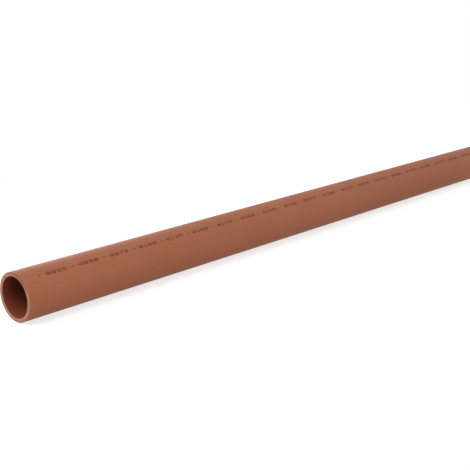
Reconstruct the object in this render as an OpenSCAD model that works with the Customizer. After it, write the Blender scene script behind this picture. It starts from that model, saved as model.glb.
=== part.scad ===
// Plain-ended CPVC pressure pipe: one extruded length, sawn square at both ends, with the edges broken.
// It lies along X with its underside on Z = 0 and its middle over the origin.

/* [Pipe] */
// Outside diameter
outer_d = 32; // [16:1:63]
// Wall thickness
wall = 2.6; // [1.8:0.1:7.1]
// Length from one sawn end to the other
length = 1000; // [250:50:5000]

/* [Ends] */
// How far the outer edge of each sawn end is broken
edge_break = 0.2; // [0.1:0.05:1.4]
// How far the edge at each mouth of the bore is broken
mouth_break = 0.1; // [0.05:0.05:0.3]

/* [Hidden] */
outer_r = outer_d / 2;
bore_r = outer_r - wall;
face_outer_r = outer_r - edge_break;
face_inner_r = bore_r + mouth_break;
round_sides = 96;

// Half section of the wall, with radius across and distance along the pipe upwards
module wall_section() {
    polygon([
        [face_inner_r, 0],
        [face_outer_r, 0],
        [outer_r, edge_break],
        [outer_r, length - edge_break],
        [face_outer_r, length],
        [face_inner_r, length],
        [bore_r, length - mouth_break],
        [bore_r, mouth_break],
    ]);
}

// The wall turned about the pipe's axis, then laid down along X
module pipe() {
    color([0.62, 0.40, 0.31])
        translate([-length / 2, 0, outer_r])
            rotate([0, 90, 0])
                rotate_extrude($fn = round_sides)
                    wall_section();
}

pipe();
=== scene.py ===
# %% [markdown]
# # A length of CPVC pressure pipe
# A plumber buys this as plain stock: one extruded tube of terracotta brown plastic, sawn square at both
# ends, with the burr taken off. There is nothing else to it, so the look rests on three things: the sawn
# end with its open bore, the satin skin, and the line of ink that runs along the side.
#
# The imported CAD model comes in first. The pipe's own sizes are read from it, so its shape isn't fitted by
# eye.

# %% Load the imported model
import math
import random

import bmesh
import bpy
from mathutils import Matrix, Vector


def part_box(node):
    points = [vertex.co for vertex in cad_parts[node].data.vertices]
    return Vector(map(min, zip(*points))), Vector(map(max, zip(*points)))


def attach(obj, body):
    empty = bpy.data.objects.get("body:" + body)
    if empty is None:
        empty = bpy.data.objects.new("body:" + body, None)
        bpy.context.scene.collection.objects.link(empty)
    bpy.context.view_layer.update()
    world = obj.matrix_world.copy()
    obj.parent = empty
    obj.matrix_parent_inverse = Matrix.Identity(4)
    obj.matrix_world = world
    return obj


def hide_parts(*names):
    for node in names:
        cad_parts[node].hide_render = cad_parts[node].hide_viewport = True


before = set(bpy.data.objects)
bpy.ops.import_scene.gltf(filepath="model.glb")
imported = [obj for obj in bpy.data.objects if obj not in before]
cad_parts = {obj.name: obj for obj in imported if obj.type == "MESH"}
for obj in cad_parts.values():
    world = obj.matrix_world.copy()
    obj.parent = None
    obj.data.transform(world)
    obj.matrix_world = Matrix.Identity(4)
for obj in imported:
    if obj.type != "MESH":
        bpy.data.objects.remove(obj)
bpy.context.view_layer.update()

# %% [markdown]
# ## The sizes of the wall
# A turned part is told by its half section: how far along the axis, and how far out from it, each corner
# lies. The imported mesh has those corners, so they are measured there. Reading them from the model and not
# from a list of numbers means that the dressed pipe follows the solid when a designer changes a size.

# %% Measure the outside
MM = 0.001
pipe_low, pipe_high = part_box("pipe")
half_length = (pipe_high.x - pipe_low.x) / 2
outer_radius = (pipe_high.z - pipe_low.z) / 2
axis_height = (pipe_high.z + pipe_low.z) / 2
print(f"pipe {2 * half_length / MM:.1f} mm long, {2 * outer_radius / MM:.1f} mm outside")

# %% Measure the sawn end
TOUCH = 0.01 * MM


def distance_from_axis(point):
    """How far a point lies from the middle line of the pipe."""
    return math.hypot(point.y, point.z - axis_height)


corners = [vertex.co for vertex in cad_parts["pipe"].data.vertices]
face_corners = [distance_from_axis(p) for p in corners if p.x < pipe_low.x + TOUCH]
face_outer_radius = max(face_corners)
face_inner_radius = min(face_corners)
bore_radius = min(distance_from_axis(p) for p in corners)
edge_break = min(p.x for p in corners if distance_from_axis(p) > outer_radius - TOUCH) - pipe_low.x
mouth_break = min(p.x for p in corners if distance_from_axis(p) < bore_radius + TOUCH) - pipe_low.x
print(f"bore {2 * bore_radius / MM:.1f} mm, its mouth broken by {mouth_break / MM:.2f} mm")
print(f"outer edge broken by {edge_break / MM:.2f} mm")

# %% [markdown]
# ## The camera
# The photograph looks down a little on the pipe's near end and along its side, and the far end runs out of
# the picture. The lens, the heading and the height were worked out from the two edges of the pipe and the
# ring of its end. The place then follows from one pixel: the middle of the near end has to fall there. The
# Standard view shows a colour as it is written, with no film curve over it.

# %% Fit the lens
SENSOR_WIDTH = 36.0
LENS = 68.97

scene = bpy.context.scene
scene.view_settings.view_transform = "Standard"
camera_data = bpy.data.cameras.new("photo_camera")
camera_data.sensor_width = SENSOR_WIDTH
camera_data.lens = LENS
camera = bpy.data.objects.new("photo_camera", camera_data)
scene.collection.objects.link(camera)
scene.camera = camera
print(f"the lens sees {math.degrees(camera_data.angle):.1f} degrees")

# %% Place the camera
PHOTO_SIDE = 470
NEAR_END_PIXEL = (14.62, 297.59)
NEAR_END_DEPTH = 545.9 * MM
CAMERA_HEADING = math.radians(46.97)
CAMERA_ELEVATION = math.radians(16.26)

camera.rotation_euler = (math.pi / 2 - CAMERA_ELEVATION, 0, -CAMERA_HEADING)
pixel_size = SENSOR_WIDTH / LENS / PHOTO_SIDE * NEAR_END_DEPTH
near_end_in_view = Vector((
    (NEAR_END_PIXEL[0] - PHOTO_SIDE / 2) * pixel_size,
    (PHOTO_SIDE / 2 - NEAR_END_PIXEL[1]) * pixel_size,
    -NEAR_END_DEPTH,
))
near_end = Vector((pipe_low.x, 0, axis_height))
camera.location = near_end - camera.rotation_euler.to_matrix() @ near_end_in_view
print("camera at", tuple(round(value, 4) for value in camera.location))

# %% [markdown]
# ## The wall
# The real wall is extruded through a ring-shaped die, so it is the same all the way round. A cylinder with
# a hole cut by a Boolean would do, but it gives no control over the edges. Here the half section is drawn
# as a ring of eight points and spun about the axis. A spin doesn't know which side is out, so the normals
# are recalculated once its seam is merged.

# %% Draw the half section
half_section = [
    (-half_length, face_inner_radius),
    (-half_length, face_outer_radius),
    (-half_length + edge_break, outer_radius),
    (half_length - edge_break, outer_radius),
    (half_length, face_outer_radius),
    (half_length, face_inner_radius),
    (half_length - mouth_break, bore_radius),
    (-half_length + mouth_break, bore_radius),
]

wall_mesh = bmesh.new()
outline = [wall_mesh.verts.new((along, 0, axis_height + out)) for along, out in half_section]
outline_edges = [wall_mesh.edges.new((outline[i - 1], outline[i])) for i in range(len(outline))]
print("half section:", len(outline), "points")

# %% Spin it about the axis
WALL_SIDES = 192
MERGE_DISTANCE = 0.001 * MM

bmesh.ops.spin(
    wall_mesh,
    geom=outline + outline_edges,
    cent=(0, 0, axis_height),
    axis=(1, 0, 0),
    angle=2 * math.pi,
    steps=WALL_SIDES,
    use_merge=True,
)
bmesh.ops.remove_doubles(wall_mesh, verts=wall_mesh.verts, dist=MERGE_DISTANCE)
bmesh.ops.recalc_face_normals(wall_mesh, faces=wall_mesh.faces)
print("wall:", len(wall_mesh.faces), "faces after the spin")

# %% [markdown]
# ### The edges
# The knife that takes off the burr leaves a small round on plastic, and that round is what catches the
# light. A Bevel modifier would look for sharp edges by their angle. The operator is told which ones to
# take: the rings, whose two points lie equally far along the pipe.

# %% Round the edges
EDGE_ROUND = 0.04 * MM
EDGE_SEGMENTS = 3

rings = [edge for edge in wall_mesh.edges if abs(edge.verts[0].co.x - edge.verts[1].co.x) < TOUCH]
bmesh.ops.bevel(
    wall_mesh,
    geom=rings,
    offset=EDGE_ROUND,
    offset_type="OFFSET",
    affect="EDGES",
    segments=EDGE_SEGMENTS,
    profile=0.5,
    material=-1,
    clamp_overlap=True,
)
print("wall:", len(wall_mesh.faces), "faces after the edges were rounded")

# %% [markdown]
# Smooth shading blends the normals of neighbouring faces. On a face a metre long that blend would run the
# whole length of the pipe, so a cut just inside each end holds it back to the last few millimetres.

# %% Hold the shading at the ends
HOLD_BACK = 2.5 * MM


def cut_across(along):
    """Cut the faces of the wall at a distance along the pipe, and keep both sides."""
    bmesh.ops.bisect_plane(
        wall_mesh,
        geom=wall_mesh.verts[:] + wall_mesh.edges[:] + wall_mesh.faces[:],
        plane_co=(along, 0, axis_height),
        plane_no=(1, 0, 0),
    )


cut_across(-half_length + HOLD_BACK)
cut_across(half_length - HOLD_BACK)
print("wall:", len(wall_mesh.faces), "faces after the cuts at the ends")

# %% [markdown]
# ## A map for the texture
# When a model leaves Blender, each finish becomes a picture, and a map says which part of the picture each
# face wears. The automatic unwrap gives a metre of skin and a sawn face under three millimetres wide one
# scale, so the edge of the cut would come out as a blur. Here the skin is cut into three lengths that lie
# above each other, the bore has a strip of its own, and each sawn end is unrolled into a strip that takes
# in both of its broken edges. The seam runs along the underside, where nobody looks.

# %% Cut the skin into lengths
SKIN_LENGTHS = 3

for cut in range(1, SKIN_LENGTHS):
    cut_across((2 * cut / SKIN_LENGTHS - 1) * half_length)
print("wall:", len(wall_mesh.faces), "faces in", SKIN_LENGTHS, "lengths")


# %% Unroll the wall
def turn_of(point):
    """How far round the pipe a point lies, 0 on the crown and half a turn either way at the underside."""
    return math.atan2(point.y, point.z - axis_height) / (2 * math.pi)


def share_along(point):
    """How far along the pipe a point lies, from 0 at the near end to 1 at the far one."""
    return (point.x + half_length) / (2 * half_length)


def unrolled(point):
    """How far a point of an end lies from the bore, over the mouth, the sawn face and the outer edge."""
    depth = half_length - abs(point.x)
    across = distance_from_axis(point) - bore_radius
    return across - depth if across < (outer_radius - bore_radius) / 2 else across + depth


unrolled_low = -mouth_break - EDGE_ROUND
unrolled_high = outer_radius - bore_radius + edge_break + EDGE_ROUND
print(f"a sawn end unrolls to {(unrolled_high - unrolled_low) / MM:.2f} mm with its edges")

# %% Lay out the texture
STRIP_MARGIN = 0.004
FULL_WIDTH = (0.0, 1.0)
SKIN_STRIP = 0.75 / SKIN_LENGTHS
BORE_STRIP = (0.76, 0.87)
NEAR_END_STRIP = (0.88, 0.93)
FAR_END_STRIP = (0.94, 0.99)


def inside(strip, share):
    """The place that is a share of the way across a strip, clear of its edges."""
    low, high = strip
    return low + STRIP_MARGIN + share * (high - low - 2 * STRIP_MARGIN)


def texture_spot(face, point):
    """The place in the picture, across and up, that a corner of a face takes its colour from."""
    middle = face.calc_center_median()
    radii = [distance_from_axis(vertex.co) for vertex in face.verts]
    # A corner on the seam lies at both ends of the turn, so it takes the end that its face is on
    turn = turn_of(point) - round(turn_of(point) - turn_of(middle)) + 0.5
    if min(radii) > outer_radius - TOUCH:
        number = int(share_along(middle) * SKIN_LENGTHS)
        strip = (number * SKIN_STRIP, (number + 1) * SKIN_STRIP)
        return inside(FULL_WIDTH, share_along(point) * SKIN_LENGTHS - number), inside(strip, turn)
    if max(radii) < bore_radius + TOUCH:
        return inside(FULL_WIDTH, share_along(point)), inside(BORE_STRIP, turn)
    strip = NEAR_END_STRIP if middle.x < 0 else FAR_END_STRIP
    share = (unrolled(point) - unrolled_low) / (unrolled_high - unrolled_low)
    return inside(FULL_WIDTH, turn), inside(strip, share)


texture_map = wall_mesh.loops.layers.uv.new("OFBake")
for face in wall_mesh.faces:
    for loop in face.loops:
        loop[texture_map].uv = texture_spot(face, loop.vert.co)
print("texture:", SKIN_LENGTHS, "lengths of skin, one strip for the bore and one for each end")

# %% [markdown]
# The finished mesh becomes an object that stands for the solid of the pipe. It sits at the origin, because
# its place is in its mesh, and it rides on the part's only body.


# %% Make the wall an object
def finished_piece(name, mesh_in_work):
    """Turn a bmesh into a smooth-shaded object at the origin that rides on the part's one body."""
    data = bpy.data.meshes.new(name)
    mesh_in_work.to_mesh(data)
    mesh_in_work.free()
    data.shade_smooth()
    piece = bpy.data.objects.new(name, data)
    scene.collection.objects.link(piece)
    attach(piece, "root")
    print(name, "has", len(data.polygons), "faces")
    return piece


pipe_wall = finished_piece("pipe_wall", wall_mesh)
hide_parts("pipe")

# %% [markdown]
# ## The ink line
# Such pipe is marked on the line by an ink jet: a column of seven nozzles spits dots as the tube runs
# past, so the characters are made of separate round dots and are a little stretched. This one carries a
# plain length scale in millimetres, a number every 25 and a dash between. The dots could be painted by a
# texture, but then their edge is only as sharp as the baked picture. Each one is a tiny flat cone here,
# sunk into the skin.

# %% Draw the characters
DOT_ROWS = {
    "0": (".###.", "#...#", "#..##", "#.#.#", "##..#", "#...#", ".###."),
    "1": ("..#..", ".##..", "..#..", "..#..", "..#..", "..#..", ".###."),
    "2": (".###.", "#...#", "....#", "...#.", "..#..", ".#...", "#####"),
    "3": ("#####", "...#.", "..#..", "...#.", "....#", "#...#", ".###."),
    "4": ("...#.", "..##.", ".#.#.", "#..#.", "#####", "...#.", "...#."),
    "5": ("#####", "#....", "####.", "....#", "....#", "#...#", ".###."),
    "6": ("..##.", ".#...", "#....", "####.", "#...#", "#...#", ".###."),
    "7": ("#####", "....#", "...#.", "..#..", ".#...", ".#...", ".#..."),
    "8": (".###.", "#...#", "#...#", ".###.", "#...#", "#...#", ".###."),
    "9": (".###.", "#...#", "#...#", ".####", "....#", "...#.", ".##.."),
    "-": (".....", ".....", ".....", ".###.", ".....", ".....", "....."),
}
MIDDLE_ROW = 3
MIDDLE_COLUMN = 2
print(len(DOT_ROWS), "characters of", 2 * MIDDLE_ROW + 1, "rows and", 2 * MIDDLE_COLUMN + 1, "columns")

# %% Spit one dot
LINE_ANGLE = math.radians(35)
DOT_RADIUS = 0.33 * MM
DOT_SMALLEST = 0.88
DOT_LARGEST = 1.08
DOT_TOP_SHARE = 0.9
DOT_SIDES = 8
DOT_STANDS_PROUD = 0.02 * MM
DOT_SINKS = 0.04 * MM
JET_SEED = 25

jet = random.Random(JET_SEED)


def spit_dot(word_mesh, along, above):
    """Add one dot at a distance along the pipe and a height above the middle of the ink line."""
    turn = Matrix.Rotation(LINE_ANGLE - above / outer_radius, 4, "X")
    lift = outer_radius + (DOT_STANDS_PROUD - DOT_SINKS) / 2
    size = DOT_RADIUS * jet.uniform(DOT_SMALLEST, DOT_LARGEST)
    bmesh.ops.create_cone(
        word_mesh,
        cap_ends=True,
        segments=DOT_SIDES,
        radius1=size,
        radius2=DOT_TOP_SHARE * size,
        depth=DOT_STANDS_PROUD + DOT_SINKS,
        matrix=Matrix.Translation((along, 0, axis_height)) @ turn @ Matrix.Translation((0, 0, lift)),
    )


print(f"a dot is about {2 * DOT_RADIUS / MM:.2f} mm across")

# %% [markdown]
# A bmesh grows slower to work on the more it holds. So each word is made in a small mesh of its own, and
# the finished word is then added to the whole line.

# %% Print a word
COLUMN_PITCH = 0.64 * MM
ROW_PITCH = 0.31 * MM
CHARACTER_PITCH = 4.0 * MM
PRINT_WANDER = 0.03 * MM

ink_mesh = bmesh.new()


def print_word(word, middle):
    """Print a word in dots, with its middle at a distance along the pipe."""
    word_mesh = bmesh.new()
    for place, character in enumerate(word):
        centre = middle + (place - (len(word) - 1) / 2) * CHARACTER_PITCH
        for row, dots in enumerate(DOT_ROWS[character]):
            for column, dot in enumerate(dots):
                if dot == "#":
                    along = centre + (column - MIDDLE_COLUMN) * COLUMN_PITCH
                    along += jet.uniform(-PRINT_WANDER, PRINT_WANDER)
                    above = (MIDDLE_ROW - row) * ROW_PITCH
                    above += jet.uniform(-PRINT_WANDER, PRINT_WANDER)
                    spit_dot(word_mesh, along, above)
    word_data = bpy.data.meshes.new("word")
    word_mesh.to_mesh(word_data)
    word_mesh.free()
    ink_mesh.from_mesh(word_data)
    bpy.data.meshes.remove(word_data)


print(f"a character is {2 * (MIDDLE_ROW * ROW_PITCH + DOT_RADIUS) / MM:.1f} mm tall")

# %% Print the scale
LABEL_STEP = 25 * MM

label_count = round(2 * half_length / LABEL_STEP) - 1
for label in range(1, label_count + 1):
    distance = label * LABEL_STEP
    print_word("-", -half_length + distance - LABEL_STEP / 2)
    print_word(f"{round(distance / MM):04d}", -half_length + distance)
print_word("-", half_length - LABEL_STEP / 2)
print(label_count, "numbers on the scale")
ink_scale = finished_piece("ink_scale", ink_mesh)

# %% [markdown]
# ## Tools for the finishes
# A finish is a small sum over the surface: so much of this mask, so much of that noise. Node by node such
# a sum is hard to read, so a socket is wrapped in a class that knows how to add and multiply, and each
# sign puts in the Math node that stands for it. Every other node comes from one method.


# %% Wrap a socket for arithmetic
class Signal:
    """A socket of a shader tree that takes part in Python arithmetic."""

    def __init__(self, socket):
        self.socket = socket

    def also(self, output):
        """Another output of the node that this signal comes from."""
        return Signal(self.socket.node.outputs[output])

    def math(self, operation, *values):
        """Add a Math node on some values, which may be signals or numbers."""
        node = self.socket.id_data.nodes.new("ShaderNodeMath")
        node.operation = operation
        for socket, value in zip(node.inputs, values):
            plug(socket, value)
        return Signal(node.outputs[0])

    def __add__(self, other):
        return self.math("ADD", self, other)

    def __sub__(self, other):
        return self.math("SUBTRACT", self, other)

    def __rsub__(self, other):
        return self.math("SUBTRACT", other, self)

    def __mul__(self, other):
        return self.math("MULTIPLY", self, other)

    def __pow__(self, other):
        return self.math("POWER", self, other)

    def __abs__(self):
        return self.math("ABSOLUTE", self)

    __radd__ = __add__
    __rmul__ = __mul__


def plug(socket, value):
    """Link a signal to a socket, or set the socket to a plain value."""
    if isinstance(value, Signal):
        socket.id_data.links.new(value.socket, socket)
    else:
        socket.default_value = value


print("a Signal adds a Math node for each of + - * ** and abs")


# %% Add any other node
def find_socket(sockets, name):
    """A socket by its identifier, which tells the sockets of a Mix node apart, or by name or number."""
    by_identifier = {socket.identifier: socket for socket in sockets}
    return by_identifier[name] if name in by_identifier else sockets[name]


class Finish:
    """One material or world, and the method that adds its nodes."""

    def __init__(self, owner):
        owner.use_nodes = True
        self.owner = owner
        self.tree = owner.node_tree
        self.tree.nodes.clear()

    def node(self, kind, settings=None, sockets=None, output=0):
        """Add a node of a kind, make its settings, then fill its sockets, and give one of its outputs."""
        node = self.tree.nodes.new(kind)
        for name, value in (settings or {}).items():
            setattr(node, name, value)
        for name, value in (sockets or {}).items():
            plug(find_socket(node.inputs, name), value)
        return Signal(find_socket(node.outputs, output)) if node.outputs else None


cpvc = Finish(bpy.data.materials.new("cpvc_satin"))
print(cpvc.owner.name, "starts with", len(cpvc.tree.nodes), "nodes")

# %% [markdown]
# ## The CPVC
# One plastic shows three ways. The skin took the polish of the die and is satin, with faint lines along
# the run of the extruder. The sawn face is torn open by the teeth, so it scatters more light and looks
# paler. At the mouth, where the burr was scraped off, it is paler still, and that band is also a painted
# highlight of the bevel catching the light. On top the face is darker in a patch. The bore is painted
# darker than the skin, as painted shade inside the tube. Three materials on three sets of faces would meet
# in hard lines. In one material the distance from the axis alone tells them apart: only the skin lies at
# the outer radius and only the bore at the inner one.

# %% Tell the skin, the cut and the bore apart
SKIN_STARTS = outer_radius - 0.16 * MM
SKIN_IS_FULL = outer_radius - 0.04 * MM
BORE_IS_FULL = bore_radius + 0.005 * MM
BORE_STARTS = bore_radius + 0.04 * MM


def ramp(finish, value, low, high):
    """Go smoothly from 0 at low to 1 at high."""
    return finish.node(
        "ShaderNodeMapRange",
        {"interpolation_type": "SMOOTHSTEP"},
        {"Value": value, "From Min": low, "From Max": high},
    )


place = cpvc.node("ShaderNodeTexCoord", output="Object")
along = cpvc.node("ShaderNodeSeparateXYZ", None, {"Vector": place}, "X")
across = along.also("Y")
up = along.also("Z") - axis_height
from_axis = (across * across + up * up) ** 0.5
skin = ramp(cpvc, from_axis, SKIN_STARTS, SKIN_IS_FULL)
bore = 1 - ramp(cpvc, from_axis, BORE_IS_FULL, BORE_STARTS)
print("masks for the skin and the bore:", len(cpvc.tree.nodes), "nodes so far")

# %% [markdown]
# ### The marks of making
# The die draws fine streaks along the skin, the melt leaves soft clouds of tone, and the saw leaves lines
# across the cut. A picture of all that would have a seam and a limit to its sharpness. Noise has neither,
# and a Mapping node that shrinks one direction stretches it into lines.

# %% Draw the streaks, the clouds, the grain and the saw lines
STREAK_SCALE = 900.0
STREAK_STRETCH = (0.012, 1.0, 1.0)
CLOUD_SCALE = 14.0
GRAIN_SCALE = 2600.0
SAW_SCALE = 3000.0
SAW_STRETCH = (1.0, 0.04, 1.0)


def noise(finish, place, scale, detail=2.0, roughness=0.5):
    """Soft random values about 0 at a place."""
    values = finish.node(
        "ShaderNodeTexNoise",
        None,
        {"Vector": place, "Scale": scale, "Detail": detail, "Roughness": roughness},
        "Fac",
    )
    return values - 0.5


along_the_die = cpvc.node("ShaderNodeMapping", None, {"Vector": place, "Scale": STREAK_STRETCH})
along_the_saw = cpvc.node("ShaderNodeMapping", None, {"Vector": place, "Scale": SAW_STRETCH})
streaks = noise(cpvc, along_the_die, STREAK_SCALE, detail=3.0, roughness=0.6)
clouds = noise(cpvc, place, CLOUD_SCALE, detail=3.0)
grain = noise(cpvc, place, GRAIN_SCALE)
saw_lines = noise(cpvc, along_the_saw, SAW_SCALE)
print(f"streaks about {1 / STREAK_SCALE / MM:.1f} mm apart, saw lines {1 / SAW_SCALE / MM:.1f} mm")

# %% [markdown]
# ### The colours
# A flat brown would look like paint. Each surface is a pale and a deep brown instead, and the marks say how
# much of each shows. A colour picked on a screen has to be turned into the light values of the shader.

# %% Colour the skin
STREAK_TONE = 0.35
CLOUD_TONE = 0.5
GRAIN_TONE = 0.25
TONE_REACH = 0.25


def linear(red, green, blue):
    """A colour as seen on a screen, 0 to 255, in the light values that a shader works with."""
    def channel(value):
        value = value / 255
        return value / 12.92 if value <= 0.04045 else ((value + 0.055) / 1.055) ** 2.4

    return (channel(red), channel(green), channel(blue), 1.0)


def blend(finish, factor, first, second):
    """Mix two colours."""
    return finish.node(
        "ShaderNodeMix",
        {"data_type": "RGBA"},
        {"Factor_Float": factor, "A_Color": first, "B_Color": second},
        "Result_Color",
    )


SKIN_PALE = linear(167, 105, 78)
SKIN_DEEP = linear(155, 95, 70)
tone = streaks * STREAK_TONE + clouds * CLOUD_TONE + grain * GRAIN_TONE
skin_colour = blend(cpvc, ramp(cpvc, tone, -TONE_REACH, TONE_REACH), SKIN_DEEP, SKIN_PALE)
print("pale skin in light values", tuple(round(value, 3) for value in SKIN_PALE))

# %% Colour the cut
CUT_PALE = linear(183, 135, 112)
CUT_DEEP = linear(164, 115, 92)
# A darker colour for a patch on the upper part of each sawn face
CUT_DARK_PATCH = linear(137, 95, 79)
# A paler colour at the mouth: scraped plastic, and a painted highlight where the bevel catches the light
CUT_SCRAPED_AND_HIGHLIGHT = linear(191, 147, 126)
SAW_REACH = 0.2
DARK_PATCH_ANGLE = math.radians(28)
DARK_PATCH_STARTS = 0.65 * outer_radius
DARK_PATCH_IS_FULL = 0.94 * outer_radius
DARK_PATCH_RAGGED = 0.5
DARK_PATCH_STRENGTH = 0.95
SCRAPE_AND_HIGHLIGHT_IS_FULL = bore_radius + 0.3 * MM
SCRAPE_AND_HIGHLIGHT_ENDS = bore_radius + 1.5 * MM
SCRAPE_AND_HIGHLIGHT_STRENGTH = 0.6
SCRAPE_AND_HIGHLIGHT_LOST_TO_DARK_PATCH = 0.15

# A darker patch on the upper part of each sawn face, turned a little towards minus Y, ragged at its edge
# along the saw lines
towards_dark_patch = up * math.cos(DARK_PATCH_ANGLE) - across * math.sin(DARK_PATCH_ANGLE)
patch = ramp(cpvc, towards_dark_patch, DARK_PATCH_STARTS, DARK_PATCH_IS_FULL)
dark_patch = ramp(cpvc, patch + saw_lines * DARK_PATCH_RAGGED, 0.0, 1.0)
# The pale band at the mouth is scraped plastic and also a painted highlight of the bevel
scraped_and_highlight = 1 - ramp(cpvc, from_axis, SCRAPE_AND_HIGHLIGHT_IS_FULL, SCRAPE_AND_HIGHLIGHT_ENDS)
scrape_and_highlight_shows = scraped_and_highlight * (SCRAPE_AND_HIGHLIGHT_STRENGTH - dark_patch * SCRAPE_AND_HIGHLIGHT_LOST_TO_DARK_PATCH)
cut_colour = blend(cpvc, ramp(cpvc, saw_lines, -SAW_REACH, SAW_REACH), CUT_DEEP, CUT_PALE)
cut_colour = blend(cpvc, dark_patch * DARK_PATCH_STRENGTH, cut_colour, CUT_DARK_PATCH)
cut_colour = blend(cpvc, scrape_and_highlight_shows, cut_colour, CUT_SCRAPED_AND_HIGHLIGHT)
print("scraped up to", round((SCRAPE_AND_HIGHLIGHT_ENDS - bore_radius) / MM, 2), "mm from the bore")

# %% [markdown]
# ### The plastic
# The masks now put the colours where they belong. The streaks, the grain and the saw lines are hundredths
# of a millimetre deep, too fine to model, so a Bump node tilts the normal for them. The gloss is weak,
# because the skin in the photograph shows hardly any.

# %% Mix the plastic
# The bore's colour is darker than the skin's: painted shade inside the tube
BORE_PAINTED_SHADE_COLOUR = linear(128, 63, 43)
SKIN_ROUGHNESS = 0.55
CUT_ROUGHNESS = 0.75
STREAK_ROUGHNESS = 0.12
STREAK_RELIEF = 0.6
GRAIN_RELIEF = 0.5
SAW_RELIEF = 4.0
RELIEF_DEPTH = 0.02 * MM
RELIEF_STRENGTH = 0.25
PLASTIC_GLOSS = 0.13

colour = blend(cpvc, skin, cut_colour, skin_colour)
# The bore is painted darker, as shade inside the tube
colour = blend(cpvc, bore, colour, BORE_PAINTED_SHADE_COLOUR)
roughness = CUT_ROUGHNESS + skin * (SKIN_ROUGHNESS - CUT_ROUGHNESS) + streaks * STREAK_ROUGHNESS
relief = streaks * STREAK_RELIEF + grain * GRAIN_RELIEF + saw_lines * (1 - skin) * SAW_RELIEF
bump = cpvc.node(
    "ShaderNodeBump",
    None,
    {"Strength": RELIEF_STRENGTH, "Distance": RELIEF_DEPTH, "Height": relief},
    "Normal",
)
plastic = cpvc.node(
    "ShaderNodeBsdfPrincipled",
    None,
    {"Base Color": colour, "Roughness": roughness, "Normal": bump, "Specular IOR Level": PLASTIC_GLOSS},
)
cpvc.node("ShaderNodeOutputMaterial", None, {"Surface": plastic})
pipe_wall.data.materials.append(cpvc.owner)
print(cpvc.owner.name, "has", len(cpvc.tree.nodes), "nodes")

# %% [markdown]
# ## The ink
# Marking ink dries to a thin matt film, and the plastic shows through where a drop spread too far. The
# film could be see-through over the skin, but at this size that looks the same as two browns, a dark one
# where the drop is thick and a warmer one where it is thin.

# %% Mix the ink
INK_DARK = linear(62, 22, 7)
INK_THIN = linear(84, 35, 14)
INK_SCALE = 700.0
INK_ROUGHNESS = 0.6
INK_GLOSS = 0.15

ink = Finish(bpy.data.materials.new("marking_ink"))
ink_place = ink.node("ShaderNodeTexCoord", output="Object")
thin = 0.5 + noise(ink, ink_place, INK_SCALE, detail=1.0)
ink_colour = blend(ink, thin, INK_DARK, INK_THIN)
ink_film = ink.node(
    "ShaderNodeBsdfPrincipled",
    None,
    {"Base Color": ink_colour, "Roughness": INK_ROUGHNESS, "Specular IOR Level": INK_GLOSS},
)
ink.node("ShaderNodeOutputMaterial", None, {"Surface": ink_film})
ink_scale.data.materials.append(ink.owner)
print(ink.owner.name, "has", len(ink.tree.nodes), "nodes")

# %% [markdown]
# ## The white sweep
# The pipe lies on a white sweep that fades into the background. A floor under plain light comes out pale
# grey, so what the camera and the gloss see of it is lifted towards white beside the pipe, where its soft
# shadow falls, and is plain white further off. More light would whiten it too, but it would bleach the
# pipe. So the light that the floor throws back stays that of a duller sheet. It is a little warm, because
# grey light from below leaves the underside colder than it is in the photograph.

# %% Lay the floor
FLOOR_RADIUS = 6.0
FLOOR_SIDES = 64

floor_mesh = bmesh.new()
bmesh.ops.create_circle(floor_mesh, cap_ends=True, segments=FLOOR_SIDES, radius=FLOOR_RADIUS)
floor_data = bpy.data.meshes.new("floor")
floor_mesh.to_mesh(floor_data)
floor_mesh.free()
floor = bpy.data.objects.new("floor", floor_data)
scene.collection.objects.link(floor)
print("floor", 2 * FLOOR_RADIUS, "m across")

# %% Measure the floor from the pipe
sweep = Finish(bpy.data.materials.new("white_sweep"))
floor_place = sweep.node("ShaderNodeTexCoord", output="Object")
floor_along = sweep.node("ShaderNodeSeparateXYZ", None, {"Vector": floor_place}, "X")
past_end = floor_along.math("MAXIMUM", abs(floor_along) - half_length, 0.0)
beside = floor_along.also("Y")
from_pipe = (past_end * past_end + beside * beside) ** 0.5
print("the distance from the pipe takes", len(sweep.tree.nodes), "nodes")

# %% Whiten what the camera sees of it
WHITE = (1.0, 1.0, 1.0, 1.0)
FLOOR_BOUNCE = (0.52, 0.42, 0.38, 1.0)
FLOOR_SHADE = (0.5, 0.5, 0.5, 1.0)
FLOOR_LIFT = 0.7
FADE_FROM = 80 * MM
FADE_TO = 350 * MM


def seen_directly(finish):
    """1 where the camera, a gloss or a glass looks at a surface, and 0 for the light that it throws."""
    camera_ray = finish.node("ShaderNodeLightPath", output="Is Camera Ray")
    any_of_them = camera_ray + camera_ray.also("Is Glossy Ray") + camera_ray.also("Is Transmission Ray")
    return camera_ray.math("MINIMUM", any_of_them, 1.0)


matt = sweep.node("ShaderNodeBsdfDiffuse", None, {"Color": FLOOR_BOUNCE})
shade = sweep.node("ShaderNodeBsdfDiffuse", None, {"Color": FLOOR_SHADE})
glow = sweep.node("ShaderNodeEmission", None, {"Color": WHITE, "Strength": FLOOR_LIFT})
lifted = sweep.node("ShaderNodeAddShader", None, {0: shade, 1: glow})
white = sweep.node("ShaderNodeEmission", None, {"Color": WHITE, "Strength": 1.0})
fade = ramp(sweep, from_pipe, FADE_FROM, FADE_TO)
seen = sweep.node("ShaderNodeMixShader", None, {"Fac": fade, 1: lifted, 2: white})
surface = sweep.node("ShaderNodeMixShader", None, {"Fac": seen_directly(sweep), 1: matt, 2: seen})
sweep.node("ShaderNodeOutputMaterial", None, {"Surface": surface})
floor_data.materials.append(sweep.owner)
print("the floor is plain white from", round(FADE_TO / MM), "mm off the pipe")

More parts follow.
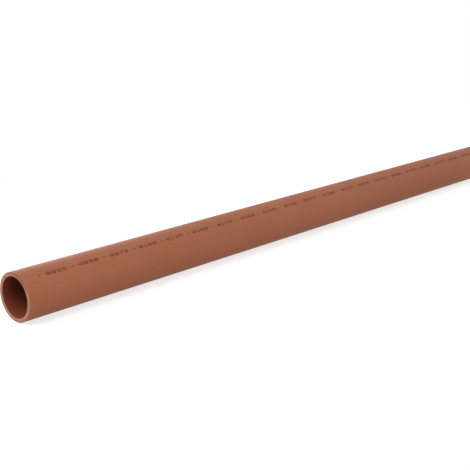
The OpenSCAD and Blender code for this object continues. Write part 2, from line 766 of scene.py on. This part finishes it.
# %% [markdown]
# ## The light
# The skin is only a little brighter on top than at its side, and there is no hard glint, so the light is
# wide and soft. One bright sky would do that, but it would light the bore from all sides. The real bore is
# bright at the bottom of its mouth and dark at the top, so the room is dim, the main panel hangs high in
# front of the end that shows, and a second one behind it lights the crown and the sawn face. Two low
# panels fill the flanks, one on each side. The far end has a panel of its own, with a grid that keeps the
# beam narrow, and it is left out of reflections, where it would lie as a pale streak on the skin.

# %% Dim the room
ROOM_FILL = 0.2

room = Finish(bpy.data.worlds.new("room"))
scene.world = room.owner
backdrop = room.node("ShaderNodeBackground", None, {"Color": WHITE, "Strength": 1.0})
fill = room.node("ShaderNodeBackground", None, {"Color": WHITE, "Strength": ROOM_FILL})
sky = room.node("ShaderNodeMixShader", None, {"Fac": seen_directly(room), 1: fill, 2: backdrop})
room.node("ShaderNodeOutputWorld", None, {"Surface": sky})
print("the room lights the pipe at", ROOM_FILL, "of white")


# %% Hang the panels
def hang_panel(name, location, target, side, watts, spread=math.pi):
    """Hang a square soft panel that faces a point. A spread under half a turn stands for a grid on it."""
    panel_data = bpy.data.lights.new(name, "AREA")
    panel_data.shape = "SQUARE"
    panel_data.size = side
    panel_data.energy = watts
    panel_data.spread = spread
    panel = bpy.data.objects.new(name, panel_data)
    panel.location = location
    panel.rotation_euler = (Vector(target) - Vector(location)).to_track_quat("-Z", "Y").to_euler()
    scene.collection.objects.link(panel)
    print(name, "gives", watts, "W")
    return panel


GRID_SPREAD = math.radians(60)
beyond_middle = Vector((0.1, 0, axis_height))
far_end = Vector((pipe_high.x, 0, axis_height))
hang_panel("panel_front", (-1.35, -0.15, 1.25), near_end, side=1.0, watts=13.6)
hang_panel("panel_back", (-1.2, 0.8, 0.9), near_end, side=1.0, watts=9.0)
hang_panel("panel_side", (-0.5, -1.4, 0.2), near_end, side=0.8, watts=12.2)
hang_panel("panel_rear", (0.2, 1.4, 0.25), beyond_middle, side=1.0, watts=9.0)
panel_far = hang_panel("panel_far", (1.0, -0.2, 0.3), far_end, side=0.4, watts=0.5, spread=GRID_SPREAD)
panel_far.visible_glossy = False
